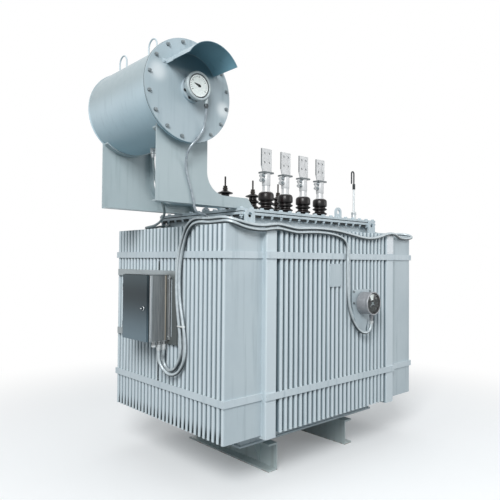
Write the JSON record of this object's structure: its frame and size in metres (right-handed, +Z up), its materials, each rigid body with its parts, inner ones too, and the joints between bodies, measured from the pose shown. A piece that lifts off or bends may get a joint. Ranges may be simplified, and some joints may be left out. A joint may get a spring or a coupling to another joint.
{
  "type": "oil-filled power transformer",
  "caption": "Oil-filled distribution transformer with corrugated finned tank, side-mounted conservator drum, low and high voltage bushings, gauges and a hinged terminal cabinet.",
  "frame": {"origin": "on the ground, below the middle of the tank", "axes": "+Z up, -Y towards the front with the thermometer and gauge, -X towards the conservator and cabinet"},
  "size_m": [2.4154, 1.422, 2.7061],
  "materials": {
    "tank_paint": "satin",
    "glazed_porcelain": "gloss",
    "tinned_copper": "satin",
    "dark_brass": "satin",
    "gasket_rubber": "matte",
    "stainless_sheet": "brushed",
    "door_sheet": "satin",
    "gauge_casting": "satin",
    "hood_paint": "satin",
    "instrument_housing": "satin",
    "galvanised_pipe": "satin",
    "rubber_hose": "matte",
    "steel_conduit": "satin",
    "blank_plate": "satin"
  },
  "bodies": {
    "transformer": {"base_bearers": "tank_paint", "braces_back": "tank_paint", "braces_front": "tank_paint", "braces_left": "tank_paint", "braces_right": "tank_paint", "cabinet_body": "stainless_sheet", "cabinet_rails": "tank_paint", "conservator_back_end": "tank_paint", "conservator_cover": "tank_paint", "conservator_shell": "tank_paint", "cover_gasket": "gasket_rubber", "cover_lugs": "tank_paint", "drain_fittings": "galvanised_pipe", "drain_hose": "rubber_hose", "drum_eyes": "tank_paint", "end_conduit": "steel_conduit", "end_gland": "galvanised_pipe", "filler_pipe": "galvanised_pipe", "fin_bank_back": "tank_paint", "fin_bank_front": "tank_paint", "fin_bank_left": "tank_paint", "fin_bank_right": "tank_paint", "front_plate": "blank_plate", "gauge_body": "tank_paint", "gauge_conduit": "steel_conduit", "gauge_dial": "gauge_casting", "gauge_hood": "hood_paint", "hv_insulator_1": "glazed_porcelain", "hv_insulator_2": "glazed_porcelain", "hv_insulator_3": "glazed_porcelain", "hv_studs": "dark_brass", "left_gland": "galvanised_pipe", "lv_insulator_1": "glazed_porcelain", "lv_insulator_2": "glazed_porcelain", "lv_insulator_3": "glazed_porcelain", "lv_insulator_4": "glazed_porcelain", "lv_terminal_1": "tinned_copper", "lv_terminal_2": "tinned_copper", "lv_terminal_3": "tinned_copper", "lv_terminal_4": "tinned_copper", "oil_pipe": "tank_paint", "post_plate": "blank_plate", "skid_left": "tank_paint", "skid_right": "tank_paint", "support_back": "tank_paint", "support_front": "tank_paint", "tank_back_wall": "tank_paint", "tank_cover": "tank_paint", "tank_floor": "tank_paint", "tank_front_wall": "tank_paint", "tank_left_wall": "tank_paint", "tank_lugs": "tank_paint", "tank_right_wall": "tank_paint", "tank_rim": "tank_paint", "thermometer_body": "instrument_housing", "thermometer_bracket": "tank_paint", "thermometer_conduit": "steel_conduit"},
    "door": {"cabinet_door": "door_sheet"}
  },
  "joints": [
    {"name": "door_hinge", "type": "hinge", "parent": "transformer", "child": "door", "pos_m": [-1.144, 0.211, 1.0765], "axis": [0, 0, -1], "range_deg": [0, 105]}
  ]
}
